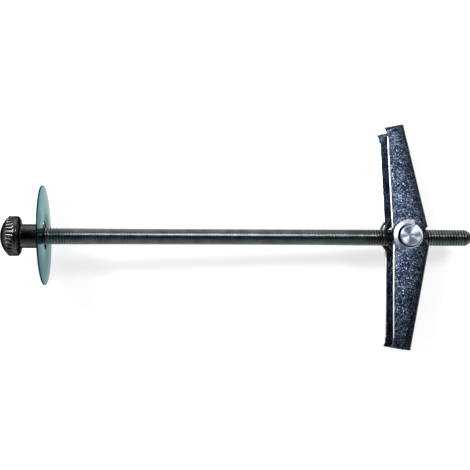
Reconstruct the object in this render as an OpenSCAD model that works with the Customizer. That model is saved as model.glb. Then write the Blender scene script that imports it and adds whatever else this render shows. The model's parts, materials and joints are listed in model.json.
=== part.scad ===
// Spring toggle bolt: a long threaded rod with a fluted cap nut and a loose washer at one end,
// and at the other a cross nut that carries two sprung channel wings.
// The rod runs along +X from the washer's face, and the wings fold about the cross nut's own axis.
// Everything is drawn square and then tilted as the bolt lies,
// on the washer's rim and the cross nut's lower end.

/* [Assembly] */
// How far the rod's tip stands past the wings' pivot
toggle_from_tip = 23.1; // [12:0.1:100]
// How far the left wing stands from square, towards the cap nut, in degrees
left_wing_lean = 0.7; // [-1:0.1:10]
// How far the right wing stands from square, towards the cap nut, in degrees
right_wing_lean = -0.7; // [-1:0.1:10]

/* [Threaded rod] */
// Diameter over the thread
rod_d = 5.9; // [4.8:0.1:7.2]
// Length of the rod
rod_len = 160; // [100:1:220]
// Length of the taper at each end
rod_point_len = 1.6; // [0.5:0.1:3]
// How much the taper takes off the radius
rod_point_depth = 0.9; // [0.3:0.1:1.5]

/* [Cap nut] */
// Diameter over the flutes
nut_head_d = 14; // [12.5:0.5:18]
// Length of the head
nut_head_len = 7; // [5:0.1:9]
// Radius of the domed crown
nut_crown_r = 9.4; // [8:0.1:14]
// Number of flutes round the head
flute_count = 30; // [16:1:36]
// Diameter of each flute's rounded ridge
flute_d = 1.5; // [1:0.1:2]
// How far the underside of the head slopes in to the collar, along the axis
nut_under_len = 1.1; // [0.5:0.1:1.8]
// Diameter of the collar
nut_collar_d = 8.4; // [7.6:0.1:11]
// Length of the collar
nut_collar_len = 8.5; // [6:0.5:14]
// Depth of the blind thread, from the collar's end
nut_thread_depth = 9.4; // [6:0.1:12]

/* [Washer] */
// Outside diameter
washer_d = 35; // [26:1:45]
// How much wider the hole is than the cap nut's collar
washer_play = 1.6; // [1.3:0.1:5]
// Thickness
washer_t = 0.6; // [0.5:0.1:2]
// How far the loose washer sits to the left of the rod's axis
washer_shift = 0.3; // [0:0.1:0.3]
// How far the loose washer stands above the rod's axis
washer_rise = 0.4; // [0:0.1:0.4]
// How far the loose washer leans round the upright, in degrees
washer_lean = 1.5; // [0:0.1:2]

/* [Cross nut] */
// Diameter of the barrel that the rod screws through
barrel_d = 8.8; // [8:0.1:10.5]
// Diameter of the journals that the wings turn on
journal_d = 6.7; // [5.5:0.1:8]
// How much wider the spread ends are than the journals
spread_over = 0.4; // [0.1:0.05:1]
// How far each spread end stands out of the wings
spread_out = 1.9; // [0.8:0.1:3]
// Diameter of the punch mark in each end
punch_d = 1.6; // [0.5:0.1:3]

/* [Wings] */
// Length of a wing, from the pivot to its tip
wing_len = 39.8; // [30:0.1:48]
// Thickness of the sheet
sheet_t = 1; // [0.7:0.1:1.3]
// Diameter of the round ear at the pivot
ear_d = 12; // [11:0.1:15]
// Gap between an ear's rim and the other wing's web
web_clear = 0.7; // [0.6:0.1:2]
// Lean of the web towards the tip, in degrees
web_lean = 11.9; // [4:0.1:14]
// Lean of the open edge away from the tip, in degrees
open_lean = 1.4; // [0:0.1:3]
// Inside radius of the bends
bend_r = 1; // [0.5:0.1:1.1]
// Slope of the tip's cut, in degrees
tip_slope = 11; // [0:1:20]
// How far the biting spur at the tip stands out
spur_out = 0.9; // [0.3:0.1:1.5]
// Radius of the curve that leads out to the spur
spur_r = 3; // [1.5:0.1:5]
// Width of the broken edges
edge_break = 0.3; // [0.1:0.05:0.4]
// Width of the countersink round each ear's hole
countersink_w = 0.9; // [0.3:0.1:1.3]

/* [Spring] */
// Wire diameter
wire_d = 0.7; // [0.5:0.05:1]
// Mean diameter of the coils
coil_d = 13.6; // [12.5:0.1:16]
// Full turns in each of the two coils
coil_turns = 2; // [1:1:4]
// How far the loose coils ride towards the left wing
coil_rise = 1.2; // [0:0.1:1.2]
// Slack along each coil, beside the rod
coil_slack = 0.35; // [0.1:0.05:2]
// Angle round the coil where each arm leaves it, in degrees from the cap nut's side
arm_angle = 40; // [25:1:60]

/* [Fits] */
// Radial clearance of a thread or a journal
running_gap = 0.05; // [0.02:0.01:0.1]
// Side play between the stacked ears, the barrel and the spread ends
side_gap = 0.2; // [0.1:0.05:0.3]
// Gap of a loose piece from its seat
seat_gap = 0.3; // [0.2:0.05:0.4]

/* [Hidden] */

$fn = 96;
far = 200;                  // longer than anything that is cut
overrun = 1;                // how far a solid runs into or past the one that it joins or cuts
arc_steps = 12;             // straight runs in a bend of a sheet's outline
ridge_sides = 24;           // sides of a flute's ridge
wire_sides = 10;            // sides of the spring's wire
wire_steps = 24;            // rings in each turn of the spring
bend_steps = 4;             // straight runs in each corner of its bridge

// from the rod out: a coil of the spring, then the inner ear, then the outer ear of the other wing,
// so each wing is set off to one side by half a sheet
inner_ear_in = rod_d / 2 + seat_gap + wire_d * (coil_turns + 1) + coil_slack + side_gap;
ear_offset = (sheet_t + side_gap) / 2;
wing_w = 2 * (inner_ear_in + sheet_t + ear_offset);
outer_ear_out = wing_w / 2 + ear_offset;
barrel_half = inner_ear_in - side_gap;
cross_half = outer_ear_out + spread_out;
spread_d = journal_d + spread_over;
end_bevel = 0.3;

// the cap nut's collar ends just inside the washer's hole
collar_recess = 0.2;
nut_seat_x = -collar_recess - nut_collar_len;
nut_start_x = nut_seat_x - nut_head_len;
rod_start_x = -collar_recess - nut_thread_depth;
rod_end_x = rod_start_x + rod_len;
grip = rod_end_x - toggle_from_tip;

// each web stands clear of the other wing's ears
web_offset = ear_d / 2 + web_clear + sheet_t;
// each web ends beside the rod, which stops the wing
web_start = rod_d / 2 + seat_gap;
web_run = tan(web_lean);
open_run = tan(open_lean);

// resting on the washer's rim and on the edge of the cross nut's lower end
washer_foot = washer_d / 2 - washer_rise;
lie_angle = atan((washer_foot - cross_half) / (grip + spread_d / 2 - end_bevel));

function web_x(y) = web_offset - web_run * y;
function open_x(y) = -ear_d / 2 - open_run * y;
function unit(v) = v / norm(v);
function over(v) = [v[0], -v[1], v[2]];

// turns v about a unit axis by the angle whose sine and cosine are s and c
function spun(v, axis, s, c) = v * c + cross(axis, v) * s + axis * (axis * v) * (1 - c);
// carries a normal along from one tangent to the next without twisting it
function carried(n, from, to) =
    let (axis = cross(from, to), s = norm(axis))
    s < 1e-6 ? n : spun(n, axis / s, s, from * to);

// a round bar of radius r along a path of points
module swept_wire(path, r) {
    last = len(path) - 1;
    tangents = [for (i = [0:last]) unit(path[min(i + 1, last)] - path[max(i - 1, 0)])];
    any_side = [0.3, 0.1, 1];   // no tangent runs this way
    start = unit(cross(tangents[0], any_side));
    normals = [for (i = 0, n = start; i <= last;
        n = i < last ? carried(n, tangents[i], tangents[i + 1]) : n, i = i + 1) n];
    points = [for (i = [0:last], k = [0:wire_sides - 1])
        let (a = 360 * k / wire_sides, side = cross(tangents[i], normals[i]))
        path[i] + r * (normals[i] * cos(a) + side * sin(a))];
    walls = [for (i = [0:last - 1], k = [0:wire_sides - 1])
        let (a = i * wire_sides + k, b = i * wire_sides + (k + 1) % wire_sides)
        [a, a + wire_sides, b + wire_sides, b]];
    first_cap = [for (k = [0:wire_sides - 1]) k];
    last_cap = [for (k = [wire_sides - 1:-1:0]) last * wire_sides + k];
    polyhedron(points, concat(walls, [first_cap, last_cap]), convexity = 10);
}

// tilts what is drawn square into the way the bolt lies
module lying() {
    rotate([0, lie_angle, 0]) children();
}

module at_pivot() {
    lying() translate([grip, 0, 0]) children();
}

// a solid of revolution about X from [x, radius] points
module turned(profile) {
    rotate([0, 90, 0]) rotate_extrude() polygon([for (p = profile) [p[1], p[0]]]);
}

module threaded_rod() {
    point_r = rod_d / 2 - rod_point_depth;
    color("dimgray") lying() turned([
        [rod_start_x, 0], [rod_start_x, point_r], [rod_start_x + rod_point_len, rod_d / 2],
        [rod_end_x - rod_point_len, rod_d / 2], [rod_end_x, point_r], [rod_end_x, 0]]);
}

// the head's smooth envelope: a domed crown, the full diameter and an underside sloping in to the collar
module nut_envelope() {
    head_r = nut_head_d / 2;
    ledge = 0.5;                // flat ring left round the collar
    intersection() {
        translate([nut_start_x + nut_crown_r, 0, 0]) sphere(nut_crown_r);
        turned([
            [nut_start_x - overrun, 0], [nut_start_x - overrun, head_r],
            [nut_seat_x - nut_under_len, head_r], [nut_seat_x, nut_collar_d / 2 + ledge], [nut_seat_x, 0]]);
    }
}

// a round bar with half-round ridges all round it
module fluted_bar() {
    ridge_r = (nut_head_d - flute_d) / 2;
    valley_rise = flute_d / 10; // fills the valleys a little past the ridges' centres
    translate([nut_start_x - overrun, 0, 0]) rotate([0, 90, 0])
        linear_extrude(nut_head_len + 2 * overrun) union() {
            circle(r = ridge_r + valley_rise);
            for (i = [0:flute_count - 1]) rotate(i * 360 / flute_count)
                translate([ridge_r, 0]) circle(d = flute_d, $fn = ridge_sides);
        }
}

module cap_nut() {
    collar_bevel = 0.3;
    collar_r = nut_collar_d / 2;
    color("darkslategray") lying() difference() {
        union() {
            intersection() {
                nut_envelope();
                fluted_bar();
            }
            turned([
                [nut_seat_x - overrun, 0], [nut_seat_x - overrun, collar_r],
                [-collar_recess - collar_bevel, collar_r], [-collar_recess, collar_r - collar_bevel],
                [-collar_recess, 0]]);
        }
        turned([
            [rod_start_x, 0], [rod_start_x, rod_d / 2 + running_gap],
            [overrun, rod_d / 2 + running_gap], [overrun, 0]]);
    }
}

module washer() {
    outer_r = washer_d / 2;
    hole_r = (nut_collar_d + washer_play) / 2;
    edge = washer_t / 8;
    color("lightsteelblue") lying() rotate([0, 0, washer_lean]) translate([0, washer_shift, washer_rise])
        turned([
            [-washer_t, hole_r + edge], [-washer_t, outer_r - edge], [-washer_t + edge, outer_r],
            [-edge, outer_r], [0, outer_r - edge], [0, hole_r + edge], [-edge, hole_r],
            [-washer_t + edge, hole_r]]);
}

// one end of the cross nut, from the barrel out: shoulder, journal and spread end with its punch mark
module cross_nut_half() {
    journal_r = journal_d / 2;
    spread_r = spread_d / 2;
    shoulder_bevel = 0.4;
    swell = sheet_t / 4;        // the journal swells into the spread end within half a sheet
    rotate_extrude() polygon([
        [0, 0], [barrel_d / 2, 0], [barrel_d / 2, barrel_half - shoulder_bevel],
        [barrel_d / 2 - shoulder_bevel, barrel_half], [journal_r, barrel_half],
        [journal_r, outer_ear_out - swell], [spread_r, outer_ear_out + swell],
        [spread_r, cross_half - end_bevel], [spread_r - end_bevel, cross_half],
        [punch_d / 2, cross_half], [0, cross_half - punch_d / 2]]);
}

module cross_nut() {
    color("gainsboro") at_pivot() difference() {
        union() {
            cross_nut_half();
            mirror([0, 0, 1]) cross_nut_half();
        }
        rotate([0, 90, 0]) cylinder(r = rod_d / 2 + running_gap, h = far, center = true);
    }
}

// the stamping's side view as a block: round ear, straight open edge, curved spur,
// sloping tip and the web's back
module side_block() {
    tip_x = web_x(wing_len);
    spur_angle = acos(1 - spur_out / spur_r);
    spur_run = spur_r * sin(spur_angle);
    // the tip's cut meets the open edge, and the spur's curve ends there
    cut_y = wing_len - tan(tip_slope) * (tip_x - open_x(wing_len) + spur_out);
    curve_y = cut_y - spur_run;
    spur = [for (i = [0:arc_steps]) let (a = spur_angle * i / arc_steps)
        [open_x(curve_y) - spur_r * (1 - cos(a)), curve_y + spur_r * sin(a)]];
    inner_run = sheet_t / cos(web_lean);
    shoulder_y = ear_d / 6;
    // both shoulders run into the ear just inside its rim
    inside_r = ear_d * 0.475;
    web_root_angle = 15;
    union() {
        cylinder(d = ear_d, h = wing_w, center = true);
        translate([0, 0, -wing_w / 2]) linear_extrude(wing_w) polygon(concat(
            [[0, 0], [-inside_r, -shoulder_y / 4], [open_x(shoulder_y), shoulder_y]], spur,
            [[tip_x, wing_len], [web_x(web_start), web_start], [web_x(web_start) - inner_run, web_start],
            inside_r * [cos(web_root_angle), -sin(web_root_angle)]]));
    }
}

// a folded channel, open towards the cap nut, whose web leans in towards the tip; the wing is cut from it
module folded_channel() {
    past_tip = wing_len * 1.2;
    past_ear = wing_len * 0.4;
    translate([web_offset, 0, 0]) rotate([90, 0, web_lean])
        translate([0, 0, -past_tip]) linear_extrude(past_tip + past_ear) difference() {
            channel_section(wing_w, bend_r + sheet_t);
            translate([-sheet_t, 0]) channel_section(wing_w - 2 * sheet_t, bend_r);
        }
}

// half of a slot shape: a deep rectangle with two rounded corners
module channel_section(width, corner_r) {
    depth = ear_d * 2.5;
    union() {
        translate([-depth, -width / 2]) square([depth - corner_r, width]);
        translate([-depth, corner_r - width / 2]) square([depth, width - 2 * corner_r]);
        for (side = [-1, 1]) translate([-corner_r, side * (width / 2 - corner_r)]) circle(corner_r);
    }
}

// a long square bar set on edge along a line in the flange's plane, to break a sheared edge
module edge_cutter(from, to, height) {
    run = to - from;
    side = edge_break * sqrt(2);
    translate([from[0], from[1], height]) rotate([0, 0, atan2(run[1], run[0])]) rotate([45, 0, 0])
        translate([0, -side / 2, -side / 2]) cube([norm(run), side, side]);
}

// coned rim on the free half of an ear's outer face, and its countersink
module ear_cutter() {
    hole_r = journal_d / 2 + running_gap;
    sink_r = hole_r + countersink_w;
    sink_depth = countersink_w / 2;
    rim_in = sink_r + sheet_t / 3;
    rim_drop = sheet_t * 0.4;
    union() {
        translate([0, 0, -sink_depth]) cylinder(r1 = hole_r, r2 = sink_r, h = sink_depth);
        cylinder(r = sink_r, h = overrun);
        intersection() {
            rotate_extrude() polygon([
                [rim_in, 0], [ear_d / 2, -rim_drop], [ear_d / 2 + overrun, -rim_drop],
                [ear_d / 2 + overrun, overrun], [rim_in, overrun]]);
            translate([-ear_d, -ear_d - web_start / 2, -sheet_t]) cube([ear_d * 2, ear_d, sheet_t * 3]);
        }
    }
}

module wing() {
    flange_out = wing_w / 2;
    hole_r = journal_d / 2 + running_gap;
    // the broken edges run from beside the ear to short of the spur
    edge_from = [open_x(0), ear_d / 4];
    edge_to = [open_x(wing_len), wing_len - spur_r * 1.5];
    difference() {
        intersection() {
            side_block();
            folded_channel();
        }
        cylinder(r = hole_r, h = far, center = true);
        for (side = [0, 1]) mirror([0, 0, side]) {
            translate([0, 0, flange_out]) ear_cutter();
            edge_cutter(edge_from, edge_to, flange_out);
            edge_cutter(edge_from, edge_to, flange_out - sheet_t);
        }
    }
}

module left_wing() {
    color("slategray") at_pivot() rotate([0, 0, left_wing_lean])
        translate([0, 0, -ear_offset]) wing();
}

// the same stamping as the left wing, turned over about the rod
module right_wing() {
    color("lightslategray") at_pivot() rotate([0, 0, -right_wing_lean])
        rotate([180, 0, 0]) translate([0, 0, -ear_offset]) wing();
}

// how far an arm runs along its tangent before it meets a wing's web
function arm_reach(from, dir) =
    let (clear = sheet_t + seat_gap + wire_d / 2, web = web_offset - clear / cos(web_lean))
    (web - web_run * from[1] - from[0]) / (dir[0] + web_run * dir[1]);

module torsion_spring() {
    r = coil_d / 2;
    // the coils ride loose round the barrel, drawn towards the cap nut and a little towards the left wing
    room = r - wire_d / 2 - barrel_d / 2 - seat_gap;
    rise = min(coil_rise, room * 0.9);
    centre = [-sqrt(room * room - rise * rise), rise, 0];
    high_z = inner_ear_in - side_gap - wire_d / 2;
    low_z = rod_d / 2 + seat_gap + wire_d / 2;
    arm_dir = [sin(arm_angle), cos(arm_angle), 0];
    start = r * [-cos(arm_angle), sin(arm_angle), 0];
    left_root = centre + start;
    left_tip = left_root + arm_dir * arm_reach(left_root, arm_dir);
    // the right arm is worked out as if it met the left wing, and then turned over
    right_root = [centre[0] + start[0], start[1] - centre[1], 0];
    right_tip = over(right_root + arm_dir * arm_reach(right_root, arm_dir));
    sweep = 360 * coil_turns + 2 * arm_angle;
    steps = round(sweep * wire_steps / 360);
    bend = wire_d * 1.5;
    corner = [for (i = [0:bend_steps]) let (a = 90 * i / bend_steps)
        left_tip - arm_dir * bend * (1 - sin(a)) + [0, 0, low_z - bend * (1 - cos(a))]];
    coil = [for (i = [0:steps]) let (a = 180 + arm_angle - sweep * i / steps)
        centre + [r * cos(a), r * sin(a), high_z + (low_z - high_z) * i / steps]];
    half = concat([right_tip + [0, 0, high_z]], coil, corner);
    other_half = [for (i = [len(half) - 1:-1:0]) [half[i][0], half[i][1], -half[i][2]]];
    color("darkslategray") at_pivot() swept_wire(concat(half, other_half), wire_d / 2);
}

threaded_rod();
cap_nut();
washer();
cross_nut();
left_wing();
right_wing();
torsion_spring();
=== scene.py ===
"""Looks of a spring toggle bolt: rolled thread, fluted cap nut, bright washer, cross nut and sprung wings.

The bolt is drawn square, with X along its rod and Z along the wings' pivot, and then laid in its tilt.
"""

import json
import logging
import math
from dataclasses import dataclass, field
from enum import Enum
from functools import cached_property
from typing import Any, Callable, Iterable, Sequence

import bmesh
import bpy
from bmesh.types import BMEdge, BMesh, BMVert
from bpy.types import Material, Node, NodeOutputs, NodeSocket, NodeTree
from mathutils import Matrix, Vector


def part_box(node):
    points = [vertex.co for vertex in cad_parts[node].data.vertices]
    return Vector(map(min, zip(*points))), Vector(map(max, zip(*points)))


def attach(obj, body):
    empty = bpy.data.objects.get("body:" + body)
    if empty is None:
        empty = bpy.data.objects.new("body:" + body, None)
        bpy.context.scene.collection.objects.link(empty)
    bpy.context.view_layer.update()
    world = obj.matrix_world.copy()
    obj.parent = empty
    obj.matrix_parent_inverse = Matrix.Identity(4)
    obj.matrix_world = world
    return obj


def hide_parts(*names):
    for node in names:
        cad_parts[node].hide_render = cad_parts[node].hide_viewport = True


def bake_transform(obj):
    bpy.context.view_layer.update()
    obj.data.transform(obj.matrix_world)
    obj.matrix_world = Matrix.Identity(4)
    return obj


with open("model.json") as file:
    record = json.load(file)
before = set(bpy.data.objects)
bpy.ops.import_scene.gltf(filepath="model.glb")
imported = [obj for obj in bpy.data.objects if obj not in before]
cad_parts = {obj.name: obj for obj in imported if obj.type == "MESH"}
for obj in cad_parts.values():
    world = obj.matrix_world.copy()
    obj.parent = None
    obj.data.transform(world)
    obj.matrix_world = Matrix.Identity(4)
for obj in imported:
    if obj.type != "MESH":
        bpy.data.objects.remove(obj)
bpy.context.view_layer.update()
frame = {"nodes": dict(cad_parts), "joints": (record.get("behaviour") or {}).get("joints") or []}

MM = 0.001
# vertices nearer than this are one
WELD = 0.001 * MM
# how far a wing's web leans towards the washer, for each millimetre out to the wing's tip
WEB_LEAN = math.tan(math.radians(11.9))
log = logging.getLogger("toggle_bolt")


class Side(Enum):
    """Which way a piece lies from the rod."""

    LEFT = 1
    RIGHT = -1


def srgb(code: str) -> tuple[float, float, float, float]:
    """Turns a hex colour as seen on a screen into the linear colour that a shader takes.

    Args:
        code: Six hex digits, with or without a leading hash sign.

    Returns:
        Linear red, green, blue and an alpha of one.
    """
    # the standard sRGB curve
    parts = [int(code.lstrip("#")[i:i + 2], 16) / 255 for i in (0, 2, 4)]
    linear = [c / 12.92 if c <= 0.04045 else ((c + 0.055) / 1.055) ** 2.4 for c in parts]
    return (linear[0], linear[1], linear[2], 1.0)


# -------------------- materials

# what feeds an input: a socket, or a node for its first output
Source = NodeSocket | Node
# a node's outputs, by axis
Axes = NodeOutputs
# a colour ramp's stops: where each is, and its hex colour
Stops = tuple[tuple[float, str], ...]


def add_node(tree: NodeTree, kind: str, settings: dict[str | int, Any] | None = None,
             links: dict[str | int, Source] | None = None) -> Node:
    """Adds a shader node, sets its properties and sockets, and links into it.

    Args:
        tree: The node tree to add to.
        kind: The node's type name, after "ShaderNode".
        settings: Values by property name, input name or input number, and a colour ramp's "stops".
        links: What feeds its inputs, by input name or number.

    Returns:
        The new node.
    """
    node = tree.nodes.new("ShaderNode" + kind)
    for key, value in (settings or {}).items():
        if key == "stops":
            elements = node.color_ramp.elements
            while len(elements) < len(value):
                elements.new(1.0)
            for element, (position, code) in zip(elements, value):
                element.position = position
                element.color = srgb(code)
        elif isinstance(key, int) or key in node.inputs:
            node.inputs[key].default_value = value
        else:
            setattr(node, key, value)
    for key, source in (links or {}).items():
        socket = source.outputs[0] if isinstance(source, Node) else source
        tree.links.new(socket, node.inputs[key])
    return node


@dataclass
class Surface:
    """A surface in the making: its look so far, and the places and normals that its finish reads."""

    tree: NodeTree
    # the place in the bolt's square frame, from the pivot
    square: Source
    # the normal in the row frame
    facing: Source
    colour: Source
    rough: Source
    normal: Source | None = None

    @cached_property
    def place(self) -> Axes:
        """Splits the place in the square frame by axis."""
        return add_node(self.tree, "SeparateXYZ", links={"Vector": self.square}).outputs

    @cached_property
    def turned(self) -> Source:
        """Turns the normal into the square frame."""
        return add_node(self.tree, "Mapping", {"Rotation": (0.0, -LYING.tilt, 0.0)}, {"Vector": self.facing})

    @cached_property
    def faces(self) -> Axes:
        """Splits the normal in the square frame by axis."""
        return add_node(self.tree, "SeparateXYZ", links={"Vector": self.turned}).outputs

    @cached_property
    def across(self) -> Source:
        """Gives the way from the pivot's axis, square to it."""
        return add_node(self.tree, "VectorMath", {"operation": "MULTIPLY", 1: (1.0, 1.0, 0.0)},
                        {0: self.square})

    @cached_property
    def radius(self) -> Source:
        """Gives the distance from the pivot's axis."""
        length = add_node(self.tree, "VectorMath", {"operation": "LENGTH"}, {0: self.across})
        return length.outputs["Value"]


@dataclass(frozen=True)
class Finish:
    """What every metal finish here shares: colour and roughness that vary in patches, and a fine relief."""

    name: str
    dark: str
    light: str
    roughness: tuple[float, float]
    patch_mm: float
    grain_mm: float
    relief_mm: float = 0.003
    edge_on: str = "#FFFFFF"
    anisotropy: float = 0.0
    turned_by: float = 0.0
    # how high the patches' noise is where the two colours and the two roughnesses are reached
    colour_at: tuple[float, float] = (0.38, 0.62)
    rough_at: tuple[float, float] = (0.3, 0.7)

    def material(self) -> Material:
        """Builds the finish as a procedural material on Object coordinates.

        Returns:
            A new material with its nodes in place.
        """
        made = bpy.data.materials.new(self.name)
        made.use_nodes = True
        tree = made.node_tree
        tree.nodes.clear()
        where = add_node(tree, "TexCoord").outputs
        square = add_node(tree, "Mapping", {"Rotation": (0.0, -LYING.tilt, 0.0), "Location": -LYING.pivot},
                          {"Vector": where["Object"]})
        patch = add_node(tree, "TexNoise",
                         {"Scale": 1 / (self.patch_mm * MM), "Detail": 4.0, "Roughness": 0.6},
                         {"Vector": square})
        colour = add_node(tree, "ValToRGB",
                          {"stops": tuple(zip(self.colour_at, (self.dark, self.light)))}, {"Fac": patch})
        rough = add_node(tree, "MapRange",
                         {"From Min": self.rough_at[0], "From Max": self.rough_at[1],
                          "To Min": self.roughness[0], "To Max": self.roughness[1]}, {"Value": patch})
        surface = Surface(tree, square, where["Normal"], colour, rough)
        self.work(surface)
        relief: dict[str | int, Source] = {"Height": self.grain(surface)}
        if surface.normal is not None:
            relief["Normal"] = surface.normal
        bump = add_node(tree, "Bump", {"Strength": 1.0, "Distance": self.relief_mm * MM}, relief)
        shader = add_node(tree, "BsdfPrincipled",
                          {"Metallic": 1.0, "Specular Tint": srgb(self.edge_on),
                           "Anisotropic": self.anisotropy, "Anisotropic Rotation": self.turned_by},
                          {"Base Color": surface.colour, "Roughness": surface.rough, "Normal": bump})
        add_node(tree, "OutputMaterial", links={"Surface": shader})
        return made

    def grain(self, surface: Surface) -> Source:
        """Gives the height of the finish's fine relief, from 0 to 1."""
        return add_node(surface.tree, "TexNoise",
                        {"Scale": 1 / (self.grain_mm * MM), "Detail": 2.0}, {"Vector": surface.square})

    def work(self, surface: Surface) -> None:
        """Changes the look where the piece was cut or coined, and paints light and shade on it. Most finishes
        leave it as it is.
        """


@dataclass(frozen=True)
class RolledSteel(Finish):
    """Plain carbon steel with a rolled thread and a film of oil: a dark cold grey with a wet gloss."""

    name: str = "rolled_oiled_steel"
    dark: str = "#464C4E"
    light: str = "#596062"
    roughness: tuple[float, float] = (0.16, 0.24)
    patch_mm: float = 3.0
    grain_mm: float = 0.4


@dataclass(frozen=True)
class BlackNickel(Finish):
    """Steel under black nickel plate: near black and glossy, so it shows the room in soft streaks."""

    name: str = "black_nickel_plate"
    dark: str = "#3D3C3E"
    light: str = "#4F4D4F"
    roughness: tuple[float, float] = (0.12, 0.20)
    patch_mm: float = 2.5
    grain_mm: float = 0.5
    edge_on: str = "#8C8C90"


@dataclass(frozen=True)
class BrightZinc(Finish):
    """Rolled sheet under bright blue-passivated zinc: nearly a mirror, its tint cold even seen edge on."""

    name: str = "bright_zinc_plate"
    dark: str = "#73979D"
    light: str = "#88A5A6"
    roughness: tuple[float, float] = (0.10, 0.17)
    patch_mm: float = 6.0
    grain_mm: float = 1.2
    edge_on: str = "#97B4B8"
    # painted shade: the dark colour painted on the rim and the hole's wall
    cut: str = "#1B3336"
    # from 0 to 1, how squarely a surface must look towards the rod, or away from it, to be a cut wall
    wall_facing: float = 0.5

    def work(self, surface: Surface) -> None:
        """Paints the rim and the hole's wall dark, as painted shade.

        Args:
            surface: The surface so far.
        """
        tree = surface.tree
        aside = add_node(tree, "VectorMath", {"operation": "MULTIPLY", 1: (0.0, 1.0, 1.0)},
                         {0: surface.square})
        ray = add_node(tree, "VectorMath", {"operation": "NORMALIZE"}, {0: aside})
        along_ray = add_node(tree, "VectorMath", {"operation": "DOT_PRODUCT"},
                             {0: surface.turned, 1: ray}).outputs["Value"]
        squarely = add_node(tree, "Math", {"operation": "ABSOLUTE"}, {0: along_ray})
        wall = add_node(tree, "Math", {"operation": "GREATER_THAN", 1: self.wall_facing}, {0: squarely})
        # painted shade on the rim and the hole's wall
        surface.colour = add_node(tree, "Mix", {"data_type": "RGBA", 7: srgb(self.cut)},
                                  {"Factor": wall, 6: surface.colour}).outputs[2]


@dataclass(frozen=True)
class TurnedZinc(Finish):
    """Free-cutting steel, turned and zinc plated: fine tool rings draw each lamp out to a fan of light."""

    name: str = "turned_zinc_plate"
    dark: str = "#A6B6CC"
    light: str = "#D2DAE6"
    roughness: tuple[float, float] = (0.33, 0.40)
    patch_mm: float = 1.5
    grain_mm: float = 0.45
    relief_mm: float = 0.006
    anisotropy: float = 0.9
    turned_by: float = 0.25

    def grain(self, surface: Surface) -> Source:
        """Gives the height of the tool's rings: they follow the radius on a face, the height on a barrel."""
        along = add_node(surface.tree, "Math", {"operation": "ADD"},
                         {0: surface.radius, 1: surface.place["Z"]})
        return add_node(surface.tree, "TexNoise",
                        {"noise_dimensions": "1D", "Scale": 1 / (self.grain_mm * MM)}, {"W": along})


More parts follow.
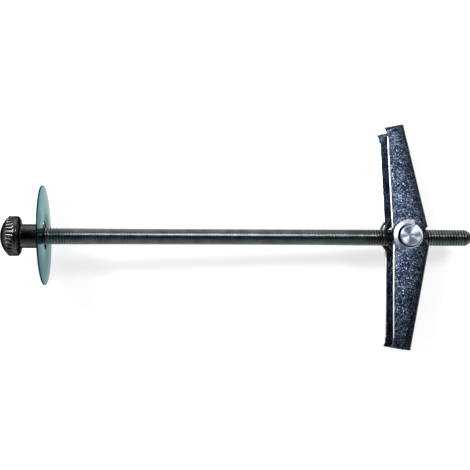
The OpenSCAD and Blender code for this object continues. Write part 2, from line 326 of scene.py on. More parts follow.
@dataclass(frozen=True)
class BluePassivate(Finish):
    """Pressed sheet under blue-passivated zinc, barrel plated: sparkling slate blue, with painted highlights
    and painted shade on its sheared edges.
    """

    name: str = "blue_passivated_zinc"
    dark: str = "#48536E"
    light: str = "#6A7695"
    roughness: tuple[float, float] = (0.28, 0.38)
    patch_mm: float = 4.0
    grain_mm: float = 0.35
    relief_mm: float = 0.02
    # the plating's pits, and the crystals that the painted sparkle stands for, are finer than this, and are
    # drawn as coarse as they need to show
    pit_mm: float = 0.24
    pit_tilt: float = 0.48
    pit_tint: float = 0.24
    sparkle_mm: float = 0.38
    # painted sparkle: a dark speck of painted shade and a painted glint, each with its colour, the lots at
    # which it starts and is full, and its share when full
    painted_sparkle: tuple[tuple[str, float, float, float], ...] = (("#20283A", 0.45, 0.0, 0.5),
                                                             ("#C4D2E8", 0.88, 1.0, 0.5))
    # painted shade: the sheet is painted dark towards its bend, and on the right wing towards the tip, but
    # little on its web
    painted_shade: str = "#12151B"
    shade_from: float = -1.0 * MM
    shade_to: float = 5.8 * MM
    shade_most: float = 0.9
    bend_facing: tuple[float, float] = (0.1, 0.4)
    tip_shade_from: float = -10.0 * MM
    tip_shade_to: float = -38.0 * MM
    tip_shade_most: float = 0.85
    web_facing: tuple[float, float] = (0.80, 0.95)
    web_share: float = 0.15
    # a sheared edge, behind the ears or at the tip, gets a painted highlight above and painted shade below,
    # and is rolled over to the face
    edge_highlight: str = "#FAF8FC"
    edge_depth: float = 4.5 * MM
    tip_reach: float = 36.0 * MM
    edge_facing: float = 0.5
    upper_facing: float = 0.2
    rolled_over: float = 0.8
    # an ear's rim is coined to a cone, sloped and given a painted highlight most on the cap nut's side, and
    # its countersink gets a painted highlight opposite
    coined_and_lit: str = "#BDBBC6"
    coined_rough: float = 0.42
    coined_slope: float = 0.45
    sunk_from: float = 4.0 * MM
    rim_from: float = 4.45 * MM
    rim_to: float = 5.75 * MM
    rim_facing: float = 0.9
    rim_fades: tuple[float, float] = (0.5 * MM, -3.0 * MM)
    rim_turned: float = -0.45

    def work(self, surface: Surface) -> None:
        """Pits the sheet, paints shade towards its bend and tip, and paints highlights on its sheared edges
        and its coined ears.

        Args:
            surface: The surface so far.
        """
        tree = surface.tree
        pits = add_node(tree, "TexVoronoi", {"Scale": 1 / (self.pit_mm * MM)},
                        {"Vector": surface.square}).outputs["Color"]
        shaded = self.paint_shade(surface)
        edges, shaded_edges = self.paint_edges(surface)
        rim, coined_and_lit, sunk_highlight = self.coin_and_light(surface)
        # painted shade: towards the bend and the tip, and under cut edges; painted highlight: on cut edges,
        # the countersink and the coined rim
        dark = add_node(tree, "Math", {"operation": "MAXIMUM"}, {0: shaded, 1: shaded_edges})
        bright = add_node(tree, "Math", {"operation": "MAXIMUM"}, {0: edges, 1: sunk_highlight})
        highlighted = add_node(tree, "Math", {"operation": "MAXIMUM"}, {0: bright, 1: coined_and_lit})
        shaped = self.shape(surface, rim, coined_and_lit, edges)
        self.pit(surface, shaped, pits, highlighted)
        self.tint_and_sparkle(surface, pits)
        # paints the shade, the coined rim's highlight, and the highlight on edges and countersink
        for code, share in ((self.painted_shade, dark), (self.coined_and_lit, coined_and_lit), (self.edge_highlight, bright)):
            surface.colour = add_node(tree, "Mix", {"data_type": "RGBA", 7: srgb(code)},
                                      {"Factor": share, 6: surface.colour}).outputs[2]
        surface.rough = add_node(tree, "Mix", {3: self.coined_rough}, {"Factor": coined_and_lit, 2: surface.rough})

    def paint_shade(self, surface: Surface) -> Source:
        """Finds where the sheet is painted dark as shade: towards its bend, and on the right wing towards its
        tip.

        Args:
            surface: The surface so far.

        Returns:
            How far the sheet is painted dark with shade, from 0 to 1.
        """
        tree, place, faces = surface.tree, surface.place, surface.faces
        # painted shade, darker towards the web and its bend, and towards the right wing's tip
        away = add_node(tree, "Math", {"operation": "ABSOLUTE"}, {0: place["Y"]})
        slope = add_node(tree, "Math", {"operation": "MULTIPLY_ADD", 1: WEB_LEAN},
                         {0: away, 2: place["X"]})
        shade = add_node(tree, "MapRange",
                         {"From Min": self.shade_from, "From Max": self.shade_to, "To Max": self.shade_most},
                         {"Value": slope})
        bend = add_node(tree, "MapRange", {"From Min": self.bend_facing[0], "From Max": self.bend_facing[1]},
                        {"Value": faces["X"]})
        tip_shade = add_node(tree, "MapRange",
                        {"From Min": self.tip_shade_from, "From Max": self.tip_shade_to, "To Max": self.tip_shade_most},
                        {"Value": place["Y"]})
        darker = add_node(tree, "Math", {"operation": "MAXIMUM"}, {0: shade, 1: tip_shade})
        along_rod = add_node(tree, "Math", {"operation": "ABSOLUTE"}, {0: faces["X"]})
        off_the_web = add_node(tree, "MapRange",
                               {"From Min": self.web_facing[0], "From Max": self.web_facing[1],
                                "To Min": 1.0, "To Max": self.web_share}, {"Value": along_rod})
        anywhere = add_node(tree, "Math", {"operation": "MAXIMUM"}, {0: darker, 1: bend})
        return add_node(tree, "Math", {"operation": "MULTIPLY"}, {0: anywhere, 1: off_the_web})

    def paint_edges(self, surface: Surface) -> tuple[Source, Source]:
        """Finds the edges that the press cut, and splits them into painted highlight above and painted shade
        below.

        Args:
            surface: The surface so far.

        Returns:
            Where an edge gets a painted highlight, and where it gets painted shade, each 0 or 1.
        """
        tree, place, faces = surface.tree, surface.place, surface.faces
        behind = add_node(tree, "Math", {"operation": "LESS_THAN", 1: -self.edge_depth}, {0: place["X"]})
        backward = add_node(tree, "Math", {"operation": "LESS_THAN", 1: -self.edge_facing}, {0: faces["X"]})
        open_edge = add_node(tree, "Math", {"operation": "MULTIPLY"}, {0: behind, 1: backward})
        away = add_node(tree, "Math", {"operation": "ABSOLUTE"}, {0: place["Y"]})
        far_out = add_node(tree, "Math", {"operation": "GREATER_THAN", 1: self.tip_reach}, {0: away})
        sideways = add_node(tree, "Math", {"operation": "ABSOLUTE"}, {0: faces["Y"]})
        endways = add_node(tree, "Math", {"operation": "GREATER_THAN", 1: self.edge_facing}, {0: sideways})
        tip_edge = add_node(tree, "Math", {"operation": "MULTIPLY"}, {0: far_out, 1: endways})
        cut = add_node(tree, "Math", {"operation": "MAXIMUM"}, {0: open_edge, 1: tip_edge})
        # painted highlight on the upper side of a cut edge, painted shade on its lower side
        upward = add_node(tree, "Math", {"operation": "GREATER_THAN", 1: self.upper_facing}, {0: faces["Z"]})
        edges = add_node(tree, "Math", {"operation": "MULTIPLY"}, {0: cut, 1: upward})
        shaded_edges = add_node(tree, "Math", {"operation": "SUBTRACT"}, {0: cut, 1: edges})
        return edges, shaded_edges

    def coin_and_light(self, surface: Surface) -> tuple[Source, Source, Source]:
        """Finds an ear's coined rim, given a painted highlight most on the cap nut's side, and the side of
        the countersink inside it that gets a painted highlight.

        Args:
            surface: The surface so far.

        Returns:
            Where the rim is, 0 or 1, how far it is coined and painted lit, and how far the countersink is
            painted lit, from 0 to 1.
        """
        tree, place, radius = surface.tree, surface.place, surface.radius
        rings = []
        for inner, outer in ((self.rim_from, self.rim_to), (self.sunk_from, self.rim_from)):
            beyond = add_node(tree, "Math", {"operation": "GREATER_THAN", 1: inner}, {0: radius})
            within = add_node(tree, "Math", {"operation": "LESS_THAN", 1: outer}, {0: radius})
            rings.append(add_node(tree, "Math", {"operation": "MULTIPLY"}, {0: beyond, 1: within}))
        upright = add_node(tree, "Math", {"operation": "ABSOLUTE"}, {0: surface.faces["Z"]})
        flat = add_node(tree, "Math", {"operation": "GREATER_THAN", 1: self.rim_facing}, {0: upright})
        rim = add_node(tree, "Math", {"operation": "MULTIPLY"}, {0: rings[0], 1: flat})
        aside = add_node(tree, "Math", {"operation": "MULTIPLY_ADD", 1: self.rim_turned},
                         {0: place["Y"], 2: place["X"]})
        # painted highlight: fades from the cap nut's side across the ear
        deep = add_node(tree, "MapRange",
                        {"From Min": self.rim_fades[0], "From Max": self.rim_fades[1]}, {"Value": aside})
        shallow = add_node(tree, "Math", {"operation": "SUBTRACT", 0: 1.0}, {1: deep})
        coined_and_lit = add_node(tree, "Math", {"operation": "MULTIPLY"}, {0: rim, 1: deep})
        sunk_highlight = add_node(tree, "Math", {"operation": "MULTIPLY"}, {0: rings[1], 1: shallow})
        return rim, coined_and_lit, sunk_highlight

    def shape(self, surface: Surface, rim: Source, coined_and_lit: Source, edges: Source) -> Source:
        """Slopes the normal outwards on a coined rim, and rolls a sheared edge over to the face.

        Args:
            surface: The surface so far.
            rim: Where an ear's rim is.
            coined_and_lit: How far it is coined and painted lit.
            edges: Where a sheared edge has a painted highlight.

        Returns:
            The normal in the row frame, not yet of unit length.
        """
        tree = surface.tree
        level = add_node(tree, "VectorMath", {"operation": "MULTIPLY", 1: (-1.0, -1.0, 0.0)},
                         {0: surface.facing})
        levelled = add_node(tree, "VectorMath", {"operation": "MULTIPLY_ADD"},
                            {0: level, 1: rim, 2: surface.facing})
        outward = add_node(tree, "VectorMath", {"operation": "NORMALIZE"}, {0: surface.across})
        steep = add_node(tree, "Math", {"operation": "MULTIPLY", 1: self.coined_slope}, {0: coined_and_lit})
        sloped = add_node(tree, "VectorMath", {"operation": "MULTIPLY_ADD"},
                          {0: outward, 1: steep, 2: levelled})
        return add_node(tree, "VectorMath",
                        {"operation": "MULTIPLY_ADD", 1: (0.0, 0.0, self.rolled_over)}, {0: edges, 2: sloped})

    def pit(self, surface: Surface, shaped: Source, pits: Source, highlighted: Source) -> None:
        """Tilts each pit its own way, except where highlights are painted.

        Args:
            surface: The surface so far.
            shaped: The normal without pits.
            pits: A colour for each pit, drawn by lot.
            highlighted: How far highlights are painted, from 0 to 1.
        """
        tree, half = surface.tree, (0.5, 0.5, 0.5)
        tilt = add_node(tree, "VectorMath", {"operation": "SUBTRACT", 1: half}, {0: pits})
        calm = add_node(tree, "MapRange", {"To Min": self.pit_tilt, "To Max": 0.0}, {"Value": highlighted})
        leaning = add_node(tree, "VectorMath", {"operation": "MULTIPLY_ADD"}, {0: tilt, 1: calm, 2: shaped})
        unit = add_node(tree, "VectorMath", {"operation": "NORMALIZE"}, {0: leaning})
        # a normal map's colour runs from 0 to 1 where the normal's parts run from -1 to 1
        coded = add_node(tree, "VectorMath", {"operation": "MULTIPLY_ADD", 1: half, 2: half}, {0: unit})
        surface.normal = add_node(tree, "NormalMap", {"space": "OBJECT"}, {"Color": coded})

    def tint_and_sparkle(self, surface: Surface, pits: Source) -> None:
        """Tints each pit, and scatters painted sparkle: dark specks of painted shade and painted glints.

        Args:
            surface: The surface so far.
            pits: A colour for each pit, drawn by lot.
        """
        tree = surface.tree
        surface.colour = add_node(tree, "Mix",
                                  {"data_type": "RGBA", "blend_type": "OVERLAY", "Factor": self.pit_tint},
                                  {6: surface.colour, 7: pits}).outputs[2]
        # painted sparkle: painted glints and dark specks of painted shade, cell by cell
        cells = add_node(tree, "TexVoronoi", {"Scale": 1 / (self.sparkle_mm * MM)},
                         {"Vector": surface.square}).outputs["Color"]
        lot = add_node(tree, "SeparateColor", links={0: cells}).outputs["Red"]
        for code, start, full, most in self.painted_sparkle:
            share = add_node(tree, "MapRange", {"From Min": start, "From Max": full, "To Max": most},
                             {"Value": lot})
            surface.colour = add_node(tree, "Mix", {"data_type": "RGBA", 7: srgb(code)},
                                      {"Factor": share, 6: surface.colour}).outputs[2]


@dataclass(frozen=True)
class TemperedWire(Finish):
    """Oil-tempered spring wire: black, with a low sheen."""

    name: str = "oil_tempered_wire"
    dark: str = "#1B1B1C"
    light: str = "#2A2A2B"
    roughness: tuple[float, float] = (0.30, 0.42)
    patch_mm: float = 1.0
    grain_mm: float = 0.2


# -------------------- frame


class Lying:
    """The bolt's own square frame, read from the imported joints, and what the CAD nodes measure in it."""

    def __init__(self) -> None:
        """Reads the rod's and the pivot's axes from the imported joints."""
        joints = {joint["name"]: joint for joint in frame["joints"]}
        along = Vector(joints["screw_turn"]["axis"]).normalized()
        across = Vector(joints["left_wing_fold"]["axis"]).normalized()
        self.matrix = Matrix((along, across.cross(along), across)).transposed().to_4x4()
        self.inverse = self.matrix.inverted()
        self.tilt = math.atan2(across.x, across.z)
        self.pivot = self.inverse @ Vector(joints["left_wing_fold"]["pos_m"])

    def points(self, node: str, lean: float) -> list[Vector]:
        """Gives a CAD node's vertices in the square frame, once its lean round Z is turned back."""
        level = Matrix.Rotation(-lean, 4, "Z") @ self.inverse
        return [level @ vertex.co for vertex in frame["nodes"][node].data.vertices]

    def box(self, node: str, lean: float = 0.0) -> tuple[Vector, Vector]:
        """Gives a CAD node's lowest and highest corners in the square frame.

        Args:
            node: The CAD node's name.
            lean: How far the node leans round Z, which is turned back first.

        Returns:
            The lowest and the highest corner, in metres.
        """
        points = self.points(node, lean)
        low = Vector(min(point[i] for point in points) for i in range(3))
        high = Vector(max(point[i] for point in points) for i in range(3))
        return low, high


LYING = Lying()


# -------------------- mesh helpers


def polyline(bm: BMesh, points: Iterable[Sequence[float]]) -> list[Any]:
    """Draws an open line of edges.

    Args:
        bm: The mesh to draw in.
        points: The line's points, in metres.

    Returns:
        The new vertices and edges, ready for a spin.
    """
    verts = [bm.verts.new(point) for point in points]
    edges = [bm.edges.new(pair) for pair in zip(verts, verts[1:])]
    return [*verts, *edges]


def turned(profile: Iterable[tuple[float, float]], steps: int) -> BMesh:
    """Spins a profile once round the Z axis, as a lathe would.

    Args:
        profile: Radius and height of each point, in metres.
        steps: Flats in the full turn.

    Returns:
        A closed mesh with its faces outwards.
    """
    bm = bmesh.new()
    line = polyline(bm, [(radius, 0.0, height) for radius, height in profile])
    bmesh.ops.spin(bm, geom=line, cent=(0, 0, 0), axis=(0, 0, 1), dvec=(0, 0, 0), angle=math.tau, steps=steps,
                   use_merge=True)
    bmesh.ops.remove_doubles(bm, verts=bm.verts, dist=WELD)
    bmesh.ops.recalc_face_normals(bm, faces=bm.faces)
    return bm


@dataclass
class Bend:
    """How a springy piece is meant to bend: its own body before start, and the named one after end."""

    body: str
    start: Vector
    end: Vector


def finished(bm: BMesh, name: str, body: str, material: Material,
             stands_for: str, crease_deg: float, bend: Bend | None = None) -> None:
    """Lays a mesh drawn in the square frame, makes it an object, dresses it and lets it ride on its body, or
    leaves it on no body if it bends.

    Args:
        bm: The mesh, which is used up.
        name: The piece's name.
        body: The CAD body that it moves with.
        material: The piece's material.
        stands_for: The CAD node that the piece replaces.
        crease_deg: Edges sharper than this stay crisp.
        bend: How the piece bends towards a second body, if it does; only whether it is given is read.
    """
    bmesh.ops.transform(bm, matrix=LYING.matrix, verts=bm.verts)
    mesh = bpy.data.meshes.new(name)
    bm.to_mesh(mesh)
    bm.free()
    mesh.shade_smooth()
    mesh.set_sharp_from_angle(angle=math.radians(crease_deg))
    mesh.materials.append(material)
    piece = bpy.data.objects.new(name, mesh)
    bpy.context.scene.collection.objects.link(piece)
    if bend:
        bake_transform(piece)
    else:
        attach(piece, body)
    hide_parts(stands_for)
    log.info("%s: %d faces on %s", name, len(mesh.polygons), body)


def dress(node: str, material: Material) -> None:
    """Gives a CAD node its finish.

    Args:
        node: The CAD node's name.
        material: The finish's material.
    """
    piece = frame["nodes"][node]
    piece.data.materials.clear()
    piece.data.materials.append(material)
    log.info("%s: dressed in %s", node, material.name)


# -------------------- pieces


@dataclass
class ThreadedRod:
    """The rod with its rolled right-hand thread and tapered ends."""

    pitch: float = 1.0 * MM
    depth: float = 0.38 * MM
    crest_share: float = 0.70
    # how a worn crest falls away, from its middle to its shoulder: share of its half width, and drop
    crest: tuple[tuple[float, float], ...] = ((0.15, 0.0), (0.55, 0.035 * MM), (1.0, 0.095 * MM))
    root_share: float = 0.08
    taper_len: float = 1.6 * MM
    taper_depth: float = 0.9 * MM
    steps: int = 56
    # each turn's end is welded to the next turn's start where they are nearer than this
    weld: float = 0.01 * MM
    crease_deg: float = 25.0
    finish: RolledSteel = field(default_factory=RolledSteel)

    def profile(self, start: float, end: float, radius: float) -> list[tuple[float, float, float]]:
        """Gives one side of the thread from end to end.

        Args:
            start: Where the first tooth starts along the rod.
            end: Where the last tooth may end.
            radius: The thread's outside radius.

        Returns:
            Points along the rod, in metres.
        """
        half_crest, half_root = self.crest_share * self.pitch / 2, self.root_share * self.pitch / 2
        shoulder = radius - self.crest[-1][1]
        crest = [*((-share * half_crest, radius - drop) for share, drop in reversed(self.crest)),
                 *((share * half_crest, radius - drop) for share, drop in self.crest)]
        root = [(self.pitch / 2 + way * half_root, shoulder - self.depth) for way in (-1, 1)]
        count = math.ceil((end - start) / self.pitch)
        return [(start + k * self.pitch + x, 0.0, r) for k in range(count) for x, r in (*crest, *root)]

    def build(self) -> None:
        """Sweeps the thread along its helix, tapers and closes the ends, and lays the rod in its nut."""
        low, high = LYING.box("threaded_rod")
        radius = (high.y - low.y) / 2
        bm = bmesh.new()
        # the thread is swept past both ends and then cut off square
        line = polyline(bm, self.profile(low.x - 2 * self.pitch, high.x + self.pitch, radius))
        bmesh.ops.spin(bm, geom=line, cent=(0, 0, 0), axis=(1, 0, 0), dvec=(self.pitch / self.steps, 0, 0),
                       angle=math.tau, steps=self.steps, use_merge=False)
        bmesh.ops.remove_doubles(bm, verts=bm.verts, dist=self.weld)
        for vert in bm.verts:
            self.taper(vert, low.x, high.x, radius)
        for end, outward in ((low.x, -1), (high.x, 1)):
            cut = bmesh.ops.bisect_plane(bm, geom=[*bm.verts, *bm.edges, *bm.faces], plane_co=(end, 0, 0),
                                         plane_no=(outward, 0, 0), clear_outer=True)
            rim = [edge for edge in cut["geom_cut"] if isinstance(edge, BMEdge)]
            bmesh.ops.holes_fill(bm, edges=rim, sides=0)
        bmesh.ops.recalc_face_normals(bm, faces=bm.faces)
        finished(bm, "rod_thread", "screw", self.finish.material(), "threaded_rod",
                 self.crease_deg)

    def taper(self, vert: BMVert, start: float, end: float, radius: float) -> None:
        """Pulls a vertex in to the cone that tapers the nearer end.

        Args:
            vert: The vertex to move.
            start: The rod's first end.
            end: The rod's last end.
            radius: The thread's outside radius.
        """
        inside = min(vert.co.x - start, end - vert.co.x)
        limit = radius - self.taper_depth * max(0.0, 1 - inside / self.taper_len)
        reach = math.hypot(vert.co.y, vert.co.z)
        if reach > limit:
            vert.co.y *= limit / reach
            vert.co.z *= limit / reach


@dataclass
class CapNut:
    """The domed cap nut: a turned head with round-bottomed flutes, a bulging underside and a collar."""

    head_r: float = 7.0 * MM
    crown_r: float = 9.2 * MM
    collar_r: float = 4.2 * MM
    bore_r: float = 3.0 * MM
    end_bevel: float = 0.3 * MM
    head_len: float = 7.3 * MM
    bulge_len: float = 1.3 * MM
    fillet: float = 0.45 * MM
    setback: float = 0.2 * MM
    flutes: int = 36
    # the flutes' floor: place from the crown, depth under the head
    flute_from: tuple[float, float] = (2.2 * MM, 0.56 * MM)
    flute_to: tuple[float, float] = (5.1 * MM, 0.16 * MM)
    runout: float = 0.45 * MM
    crown_points: int = 26
    head_points: int = 30
    curve_points: int = 8
    steps_a_flute: int = 10
    crease_deg: float = 40.0
    finish: BlackNickel = field(default_factory=BlackNickel)

    def outline(self, start: float, end: float) -> list[tuple[float, float]]:
        """Gives the head's and the collar's outline from the crown's middle to the bore.

        Args:
            start: Where the crown's middle is along the rod.
            end: Where the collar ends.

        Returns:
            Radius and place along the rod of each point, in metres.
        """
        edge = math.asin(self.head_r / self.crown_r)
        crown = [(self.crown_r * math.sin(edge * i / self.crown_points),
                  start + self.crown_r * (1 - math.cos(edge * i / self.crown_points)))
                 for i in range(self.crown_points + 1)]
        bulge_at = start + self.head_len - self.bulge_len
        run = bulge_at - crown[-1][1]
        side = [(self.head_r, crown[-1][1] + run * i / self.head_points) for i in range(1, self.head_points)]
        # a quarter of an oval from the full radius in to the fillet
        drop = self.head_r - self.collar_r - self.fillet
        quarter = [math.pi / 2 * i / self.curve_points for i in range(self.curve_points + 1)]
        bulge = [(self.head_r - drop * (1 - math.cos(a)), bulge_at + self.bulge_len * math.sin(a))
                 for a in quarter]
        seat = start + self.head_len
        hollow = [(self.collar_r + self.fillet * (1 - math.sin(a)), seat + self.fillet * (1 - math.cos(a)))
                  for a in quarter[1:]]
        recess = end - self.end_bevel
        tail = [(self.collar_r, recess), (self.collar_r - self.end_bevel, end), (self.bore_r, end),
                (self.bore_r, recess), (0.0, recess)]
        return [*crown, *side, *bulge, *hollow, *tail]

    def build(self) -> None:
        """Turns the nut, cuts its flutes and lays it over the rod."""
        low, high = LYING.box("cap_nut")
        start = low.x + self.setback
        bm = turned(self.outline(start, high.x), self.flutes * self.steps_a_flute)
        for vert in bm.verts:
            self.cut_flute(vert, vert.co.z - start)
        bmesh.ops.rotate(bm, verts=bm.verts, cent=(0, 0, 0), matrix=Matrix.Rotation(math.pi / 2, 3, "Y"))
        finished(bm, "cap_nut_fluted", "screw", self.finish.material(), "cap_nut",
                 self.crease_deg)

    def cut_flute(self, vert: BMVert, along: float) -> None:
        """Pulls a vertex of the head down to the nearest flute's floor.

        Args:
            vert: The vertex to move.
            along: How far behind the crown's middle it is.
        """
        (near, deep), (far, shallow) = self.flute_from, self.flute_to
        floor = deep + (shallow - deep) * (along - near) / (far - near)
        left = min(1.0, max(0.0, (far + self.runout - along) / self.runout))
        turn = self.flutes * math.atan2(vert.co.y, vert.co.x) / math.tau
        across = 2 * (turn - round(turn))
        # the floor eases out at its far end, and is round from one ridge to the next
        ease = left * left * (3 - 2 * left)
        limit = self.head_r - floor * ease * (1 - across * across)
        reach = math.hypot(vert.co.x, vert.co.y)
        if left > 0 and reach > limit:
            vert.co.x *= limit / reach
            vert.co.y *= limit / reach


@dataclass
class Washer:
    """The wide loose washer: blanked sheet with its edges rolled over by the die."""

    lean: float = math.radians(1.5)
    edge: float = 0.12 * MM
    steps: int = 180
    rounds: int = 4
    crease_deg: float = 32.0
    finish: BrightZinc = field(default_factory=BrightZinc)

    def build(self) -> None:
        """Spins the ring's rounded section, turns it to face along the rod and leans it."""
        low, high = LYING.box("washer", self.lean)
        centre = (low + high) / 2
        outer = (high.y - low.y) / 2
        inner = outer - self.band(centre)
        quarter = [math.pi / 2 * i / self.rounds for i in range(self.rounds + 1)]
        e = self.edge
        section = [
            *((outer - e + e * math.sin(a), high.x - e + e * math.cos(a)) for a in quarter),
            *((outer - e + e * math.cos(a), low.x + e - e * math.sin(a)) for a in quarter),
            *((inner + e - e * math.sin(a), low.x + e - e * math.cos(a)) for a in quarter),
            *((inner + e - e * math.cos(a), high.x - e + e * math.sin(a)) for a in quarter)]
        bm = turned([*section, section[0]], self.steps)
        place = Matrix.Rotation(self.lean, 4, "Z") @ Matrix.Translation((0.0, centre.y, centre.z))
        bmesh.ops.transform(bm, matrix=place @ Matrix.Rotation(math.pi / 2, 4, "Y"), verts=bm.verts)
        finished(bm, "washer_ring", "washer", self.finish.material(), "washer",
                 self.crease_deg)

    def band(self, centre: Vector) -> float:
        """Measures the ring's width on the CAD node.

        Args:
            centre: The ring's centre before it leans.

        Returns:
            The difference between the ring's two radii.
        """
        reach = [math.hypot(*(point - centre).yz) for point in LYING.points("washer", self.lean)]
        return max(reach) - min(reach)


@dataclass
class CrossNut:
    """The turned cross nut, whose threaded hole, journals, spread ends and punch marks are already true."""

    finish: TurnedZinc = field(default_factory=TurnedZinc)

    def build(self) -> None:
        """Dresses the CAD nut."""
        dress("cross_nut", self.finish.material())


@dataclass
class Wings:
    """The two folded wings, both the same stamping."""

    finish: BluePassivate = field(default_factory=BluePassivate)

    def build(self) -> None:
        """Dresses both CAD wings in one material."""
        material = self.finish.material()
        for side in Side:
            dress(f"{side.name.lower()}_wing", material)


class WireRun:
    """A round wire, drawn straight or bent round an axis, one stretch after the other."""

    def __init__(self, bm: BMesh, start: Vector, heading: Vector, radius: float, sides: int) -> None:
        """Starts the wire with a closed end.

        Args:
            bm: The mesh to draw in.
            start: The middle of its first end.
            heading: The way it runs from there.
            radius: The wire's radius.
            sides: Flats round the wire.
        """
        self.bm = bm
        self.tip = start.copy()
        self.heading = heading.normalized()
        place = Matrix.Translation(start) @ self.heading.to_track_quat("Z", "X").to_matrix().to_4x4()
        end = bmesh.ops.create_circle(bm, cap_ends=True, radius=radius, segments=sides, matrix=place)
        self.rim = list({edge for vert in end["verts"] for edge in vert.link_edges})

    def straight(self, length: float, steps: int) -> None:
        """Runs straight on.

        Args:
            length: How far.
            steps: Into how many stretches that is cut, so that it can bend.
        """
        for _ in range(steps):
            drawn = bmesh.ops.extrude_edge_only(self.bm, edges=self.rim)["geom"]
            verts = [item for item in drawn if isinstance(item, BMVert)]
            self.rim = [item for item in drawn
                        if isinstance(item, BMEdge) and all(vert in verts for vert in item.verts)]
            bmesh.ops.translate(self.bm, verts=verts, vec=self.heading * length / steps)
        self.tip += self.heading * length

    def bent(self, centre: Vector, axis: Vector, angle: float, rise: float, steps: int) -> None:
        """Bends round an axis, and runs along it meanwhile.

        Args:
            centre: A point on the axis.
            axis: The axis.
            angle: How far round it, by the right-hand rule.
            rise: How far along it.
            steps: Flats in the bend.
        """
        verts = list({vert for edge in self.rim for vert in edge.verts})
        last = bmesh.ops.spin(self.bm, geom=[*verts, *self.rim], cent=centre, axis=axis,
                              dvec=axis * rise / steps, angle=angle, steps=steps,
                              use_merge=False)["geom_last"]
        self.rim = [item for item in last if isinstance(item, BMEdge)]
        turn = Matrix.Rotation(angle, 3, axis)
        self.tip = centre + turn @ (self.tip - centre) + axis * rise
        self.heading = turn @ self.heading

    def close(self) -> None:
        """Closes the last end."""
        bmesh.ops.holes_fill(self.bm, edges=self.rim, sides=0)


@dataclass
class TorsionSpring:
    """The double torsion spring: two coils, a bridge to the left wing and two arms to the right wing.

    Its sizes are from the pivot, in the square frame.
    """

    wire_r: float = 0.35 * MM
    coil_r: float = 6.8 * MM
    centre: Vector = field(default_factory=lambda: Vector((-1.274, 1.2, 0.0)) * MM)
    high: float = 5.35 * MM
    low: float = 3.6 * MM
    turns: int = 2
    leaves_at: float = math.radians(40.0)
    lead: float = 3.0 * MM
    bend_r: float = 1.05 * MM
    web_at: float = 6.014 * MM
    sides: int = 16
    turn_steps: int = 48
    arm_steps: int = 16
    bend_steps: int = 6
    crease_deg: float = 50.0
    finish: TemperedWire = field(default_factory=TemperedWire)

    def build(self) -> None:
        """Winds the coils on the cross nut, and bends the bridge and the arms out to the wings."""
        material = self.finish.material()
        bridge, root, tip = self.bridge()
        # the coils' bend towards the left wing's web is given as starting a little before the wire leaves
        # them
        with_left = Bend("left_wing", root - self.heading(Side.LEFT) * self.lead, tip)
        self.lay(self.coils(), "spring_coils", material, with_left)
        self.lay(bridge, "spring_bridge", material, with_left)
        arms, root, tip = self.arms()
        self.lay(arms, "spring_arms", material, Bend("right_wing", root, tip))

    def lay(self, bm: BMesh, name: str, material: Material, bend: Bend) -> None:
        """Moves a stretch of wire to the pivot and finishes it.

        Args:
            bm: The wire's mesh.
            name: The piece's name.
            material: The wire's material.
            bend: How it bends towards a wing, from the pivot.
        """
        bmesh.ops.recalc_face_normals(bm, faces=bm.faces)
        bmesh.ops.translate(bm, verts=bm.verts, vec=LYING.pivot)
        placed = Bend(bend.body, bend.start + LYING.pivot, bend.end + LYING.pivot)
        finished(bm, name, "toggle", material, "torsion_spring", self.crease_deg, placed)

    def root(self, side: Side) -> Vector:
        """Gives the point where the wire leaves a coil for a wing."""
        across, aside = math.cos(self.leaves_at), math.sin(self.leaves_at)
        return self.centre + self.coil_r * Vector((-across, side.value * aside, 0.0))

    def heading(self, side: Side) -> Vector:
        """Gives the way that the wire runs from a coil to a wing."""
        return Vector((math.sin(self.leaves_at), side.value * math.cos(self.leaves_at), 0.0))

    def reach(self, side: Side) -> float:
        """Gives how far the wire runs from a coil before it meets a wing's web."""
        root, way, run = self.root(side), self.heading(side), WEB_LEAN * side.value
        return (self.web_at - run * root.y - root.x) / (way.x + run * way.y)

    def coils(self) -> BMesh:
        """Winds both coils, from the ear down to the rod.

        Returns:
            The mesh of both.
        """
        bm = bmesh.new()
        sweep = math.tau * self.turns + 2 * self.leaves_at
        for up in (1, -1):
            start = self.root(Side.RIGHT) + Vector((0.0, 0.0, up * self.high))
            wire = WireRun(bm, start, -self.heading(Side.RIGHT), self.wire_r, self.sides)
            wire.bent(self.centre, Vector((0.0, 0.0, 1.0)), -sweep, up * (self.low - self.high),
                      round(sweep / math.tau * self.turn_steps))
            wire.close()
        return bm

    def bridge(self) -> tuple[BMesh, Vector, Vector]:
        """Runs from one coil out to the left wing's web, along it, and back to the other coil.

        Returns:
            The mesh, and where it leaves the coils and where it turns, midway between them.
        """
        bm = bmesh.new()
        root, out, down = self.root(Side.LEFT), self.heading(Side.LEFT), Vector((0.0, 0.0, -1.0))
        run = self.reach(Side.LEFT) - self.bend_r
        wire = WireRun(bm, root - down * self.low, out, self.wire_r, self.sides)
        wire.straight(run, self.arm_steps)
        wire.bent(wire.tip + down * self.bend_r, out.cross(down), math.pi / 2, 0.0, self.bend_steps)
        wire.straight(2 * (self.low - self.bend_r), 1)
        wire.bent(wire.tip - out * self.bend_r, out.cross(down), math.pi / 2, 0.0, self.bend_steps)
        wire.straight(run, self.arm_steps)
        wire.close()
        return bm, root, root + out * run

    def arms(self) -> tuple[BMesh, Vector, Vector]:
        """Runs from the outer end of each coil to the right wing's web.

        Returns:
            The mesh, and where it leaves the coils and where it ends, midway between them.
        """
        bm = bmesh.new()
        root, out, run = self.root(Side.RIGHT), self.heading(Side.RIGHT), self.reach(Side.RIGHT)
        for up in (1, -1):
            wire = WireRun(bm, root + Vector((0.0, 0.0, up * self.high)), out, self.wire_r, self.sides)
            wire.straight(run, self.arm_steps)
            wire.close()
        return bm, root, root + out * run


# -------------------- studio


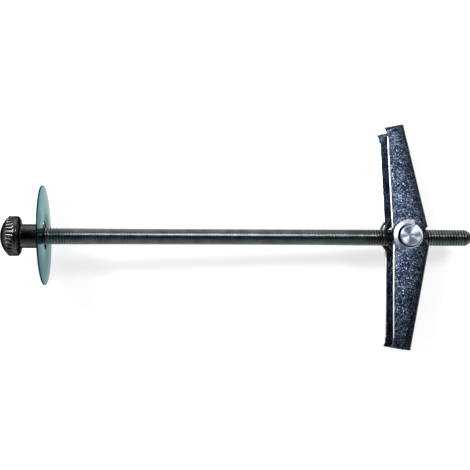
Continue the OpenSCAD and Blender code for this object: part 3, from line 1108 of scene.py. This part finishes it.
@dataclass(frozen=True)
class Softbox:
    """An oblong soft lamp that looks at the bolt, its long side level."""

    name: str
    toward: tuple[float, float, float]
    size_m: tuple[float, float]
    radiance: float

    def build(self, aim: Vector, reach: float) -> None:
        """Hangs the lamp.

        Args:
            aim: The point that it faces.
            reach: How far from that point it hangs, in metres.
        """
        data = bpy.data.lights.new(self.name, "AREA")
        data.shape = "RECTANGLE"
        data.size, data.size_y = self.size_m
        data.energy = self.radiance * math.pi * self.size_m[0] * self.size_m[1]
        lamp = bpy.data.objects.new(self.name, data)
        way = Vector(self.toward).normalized()
        lamp.location = aim + way * reach
        lamp.rotation_euler = way.to_track_quat("Z", "Y").to_euler()
        bpy.context.scene.collection.objects.link(lamp)


@dataclass
class Studio:
    """Camera, floor, sky and lamps."""

    camera_at: tuple[float, float, float] = (0.06808, -0.03170, 0.34819)
    camera_aim: tuple[float, float, float] = (0.06650, 0.00038, 0.0)
    focal_px: float = 1000.0
    frame_px: float = 470.0
    sensor_mm: float = 36.0
    floor_size: float = 6.0
    floor_colour: str = "#C4C4C4"
    floor_lift: float = 0.62
    lamp_reach: float = 0.9
    sky_strength: float = 2.0
    # the room's colours from the horizon up, from left to right and from front to back
    by_height: Stops = ((0.0, "#FFFFFF"), (0.25, "#E0E0E0"), (0.6, "#B0B2B4"),
                        (0.8, "#80868A"), (0.93, "#3A464C"), (1.0, "#2B3C44"))
    by_side: Stops = ((0.0, "#8C8C8C"), (0.2, "#E8E8E8"), (0.34, "#30363A"),
                      (0.64, "#30363A"), (0.78, "#D8D8D8"), (0.95, "#686868"))
    by_depth: Stops = ((0.0, "#C0C0C0"), (0.15, "#A0A4A8"), (0.35, "#20282C"),
                       (0.6, "#20282C"), (0.8, "#8C8278"), (0.95, "#FFF0DC"))
    lamps: tuple[Softbox, ...] = (
        Softbox("left_softbox", (-0.50, 0.44, 0.75), (0.28, 0.24), 34.0),
        Softbox("right_softbox", (0.62, 0.40, 0.68), (0.26, 0.24), 20.0))

    def build(self) -> None:
        """Sets up everything round the bolt."""
        self.place_camera()
        self.lay_floor()
        self.paint_sky()
        for lamp in self.lamps:
            lamp.build(Vector(self.camera_aim), self.lamp_reach)
        bpy.context.scene.view_settings.view_transform = "Standard"

    def place_camera(self) -> None:
        """Puts the camera above the bolt, a little in front of it."""
        data = bpy.data.cameras.new("camera")
        data.sensor_width = self.sensor_mm
        data.lens = self.focal_px / self.frame_px * self.sensor_mm
        camera = bpy.data.objects.new("camera", data)
        back = (Vector(self.camera_at) - Vector(self.camera_aim)).normalized()
        right = Vector((0.0, 1.0, 0.0)).cross(back).normalized()
        camera.matrix_world = (Matrix.Translation(self.camera_at)
                               @ Matrix((right, back.cross(right), back)).transposed().to_4x4())
        bpy.context.scene.collection.objects.link(camera)
        bpy.context.scene.camera = camera

    def lay_floor(self) -> None:
        """Lays a plain pale floor under the bolt's lowest points."""
        bm = bmesh.new()
        bmesh.ops.create_grid(bm, x_segments=1, y_segments=1, size=self.floor_size / 2)
        lowest = min(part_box(node)[0].z for node in frame["nodes"])
        bmesh.ops.translate(bm, verts=bm.verts, vec=(0.0, 0.0, lowest))
        mesh = bpy.data.meshes.new("floor")
        bm.to_mesh(mesh)
        bm.free()
        mesh.materials.append(self.floor_material())
        floor = bpy.data.objects.new("floor", mesh)
        bpy.context.scene.collection.objects.link(floor)

    def floor_material(self) -> Material:
        """Makes matt paper that camera, glossy and transmission rays all see a little brighter.

        Returns:
            A new material with its nodes in place.
        """
        made = bpy.data.materials.new("matt_paper")
        made.use_nodes = True
        tree = made.node_tree
        tree.nodes.clear()
        path = add_node(tree, "LightPath").outputs
        seen = path["Is Camera Ray"]
        for ray in ("Is Glossy Ray", "Is Transmission Ray"):
            seen = add_node(tree, "Math", {"operation": "MAXIMUM"}, {0: seen, 1: path[ray]})
        lift = add_node(tree, "Math", {"operation": "MULTIPLY", 1: self.floor_lift}, {0: seen})
        shader = add_node(tree, "BsdfPrincipled",
                          {"Base Color": srgb(self.floor_colour), "Roughness": 0.9,
                           "Specular IOR Level": 0.0, "Emission Color": (1.0, 1.0, 1.0, 1.0)},
                          {"Emission Strength": lift})
        add_node(tree, "OutputMaterial", links={"Surface": shader})
        return made

    def paint_sky(self) -> None:
        """Paints the room: dark overhead, and bright low down on every side, most of all at the far one."""
        world = bpy.data.worlds.new("room")
        bpy.context.scene.world = world
        world.use_nodes = True
        tree = world.node_tree
        tree.nodes.clear()
        toward = add_node(tree, "TexCoord").outputs["Generated"]
        axes = add_node(tree, "SeparateXYZ", links={"Vector": toward}).outputs
        glows = []
        for axis, stops in (("X", self.by_side), ("Y", self.by_depth)):
            share = add_node(tree, "MapRange", {"From Min": -1.0, "From Max": 1.0}, {"Value": axes[axis]})
            glows.append(add_node(tree, "ValToRGB", {"stops": stops}, {"Fac": share}))
        glow = add_node(tree, "Mix", {"data_type": "RGBA", "blend_type": "ADD", "Factor": 1.0},
                        {6: glows[0], 7: glows[1]}).outputs[2]
        height = add_node(tree, "ValToRGB", {"stops": self.by_height}, {"Fac": axes["Z"]})
        colour = add_node(tree, "Mix", {"data_type": "RGBA", "blend_type": "MULTIPLY", "Factor": 1.0},
                          {6: glow, 7: height}).outputs[2]
        sky = add_node(tree, "Background", {"Strength": self.sky_strength}, {"Color": colour})
        add_node(tree, "OutputWorld", links={"Surface": sky})


def main() -> None:
    """Builds the studio and every sub-assembly in order."""
    logging.basicConfig(level=logging.INFO, format="%(message)s")
    Studio().build()
    assemblies: tuple[Callable[[], Any], ...] = (ThreadedRod, CapNut, Washer, CrossNut, Wings, TorsionSpring)
    for assembly in assemblies:
        assembly().build()


if __name__ == "__main__":
    main()
